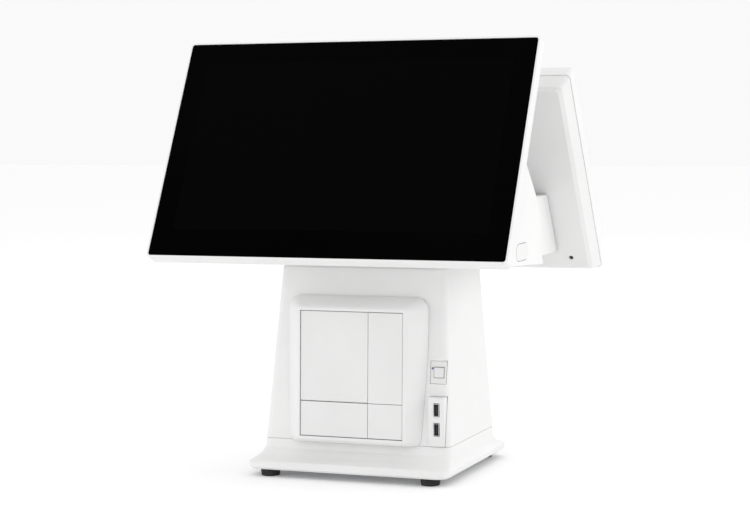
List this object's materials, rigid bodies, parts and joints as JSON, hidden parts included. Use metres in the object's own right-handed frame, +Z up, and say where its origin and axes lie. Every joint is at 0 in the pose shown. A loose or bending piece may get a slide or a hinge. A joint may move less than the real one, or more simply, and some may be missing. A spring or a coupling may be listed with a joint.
{
  "type": "pos touchscreen terminal",
  "caption": "Dual-screen checkout terminal: tilting touchscreen, mirrored customer display, and a tapered column with a front receipt printer on a flared base.",
  "frame": {"origin": "on the counter surface under the middle of the overall bounding box", "axes": "+X to the right seen by the cashier, +Y from the cashier towards the customer, +Z up"},
  "size_m": [0.394, 0.3608, 0.4581],
  "materials": {
    "white_shell": "fine satin moulded ABS, off-white",
    "white_panel": "satin moulded ABS, slightly greyer white",
    "screen_glass": "polished black cover glass, opaque",
    "rubber": "matt black rubber",
    "dark_plastic": "matt black plastic",
    "steel": "brushed nickel-plated steel",
    "circuit_board": "green solder mask",
    "lamp_lens": "pale blue indicator lens"
  },
  "bodies": {
    "stand": {"base_skirt": "white_shell", "column_shell": "white_shell", "printer_frame": "white_shell", "head_housing": "white_shell", "lower_cover_left": "white_panel", "lower_cover_right": "white_panel", "power_plate": "white_panel", "usb_plate": "white_panel", "foot_front_left": "rubber", "foot_rear_left": "rubber", "foot_front_right": "rubber", "foot_rear_right": "rubber", "inlet_panel": "dark_plastic", "power_inlet": "dark_plastic", "roll_bucket": "dark_plastic", "usb_upper_tongue": "dark_plastic", "usb_lower_tongue": "dark_plastic", "speaker": "dark_plastic", "base_plate": "steel", "print_head": "steel", "door_hinge_pin": "steel", "usb_upper_shell": "steel", "usb_lower_shell": "steel", "main_hinge_left_saddle": "steel", "main_hinge_left_pin": "steel", "customer_hinge_left_saddle": "steel", "customer_hinge_left_pin": "steel", "main_hinge_right_saddle": "steel", "main_hinge_right_pin": "steel", "customer_hinge_right_saddle": "steel", "customer_hinge_right_pin": "steel", "power_board": "circuit_board", "power_lamp": "lamp_lens"},
    "main_display": {"main_bezel": "white_shell", "main_glass": "screen_glass", "main_lcd_panel": "dark_plastic", "main_back_shell": "white_shell", "side_port_cover": "white_panel", "main_board": "circuit_board", "heat_sink": "steel", "storage_drive": "dark_plastic", "main_hinge_left_leaf": "steel", "main_hinge_right_leaf": "steel"},
    "customer_display": {"customer_bezel": "white_shell", "customer_glass": "screen_glass", "customer_lcd_panel": "dark_plastic", "customer_back_cover": "white_shell", "cover_screw": "dark_plastic", "driver_board": "circuit_board", "customer_hinge_left_leaf": "steel", "customer_hinge_right_leaf": "steel"},
    "paper_door": {"paper_door": "white_panel"},
    "platen_roller": {"platen_roller": "rubber"},
    "release_key": {"release_key": "white_panel"},
    "power_button": {"power_button": "white_panel"}
  },
  "joints": [
    {"name": "main_tilt", "type": "hinge", "parent": "stand", "child": "main_display", "pos_m": [0, -0.02, 0.297], "axis": [-1, 0, 0], "range_deg": [0, 15]},
    {"name": "customer_tilt", "type": "hinge", "parent": "stand", "child": "customer_display", "pos_m": [0, 0.078, 0.297], "axis": [1, 0, 0], "range_deg": [0, 10]},
    {"name": "paper_door_hinge", "type": "hinge", "parent": "stand", "child": "paper_door", "pos_m": [0, -0.09984, 0.0815], "axis": [1, 0, 0], "range_deg": [0, 75]},
    {"name": "platen_spin", "type": "hinge", "parent": "paper_door", "child": "platen_roller", "pos_m": [0, -0.085, 0.1645], "axis": [1, 0, 0], "continuous": true},
    {"name": "release_key_press", "type": "slide", "parent": "stand", "child": "release_key", "axis": [0, 1, 0], "range_m": [0, 0.0015], "stiffness_N_per_m": 400, "springref_m": -0.001},
    {"name": "power_button_press", "type": "slide", "parent": "stand", "child": "power_button", "axis": [0, 1, 0], "range_m": [0, 0.001], "stiffness_N_per_m": 400, "springref_m": -0.001}
  ]
}
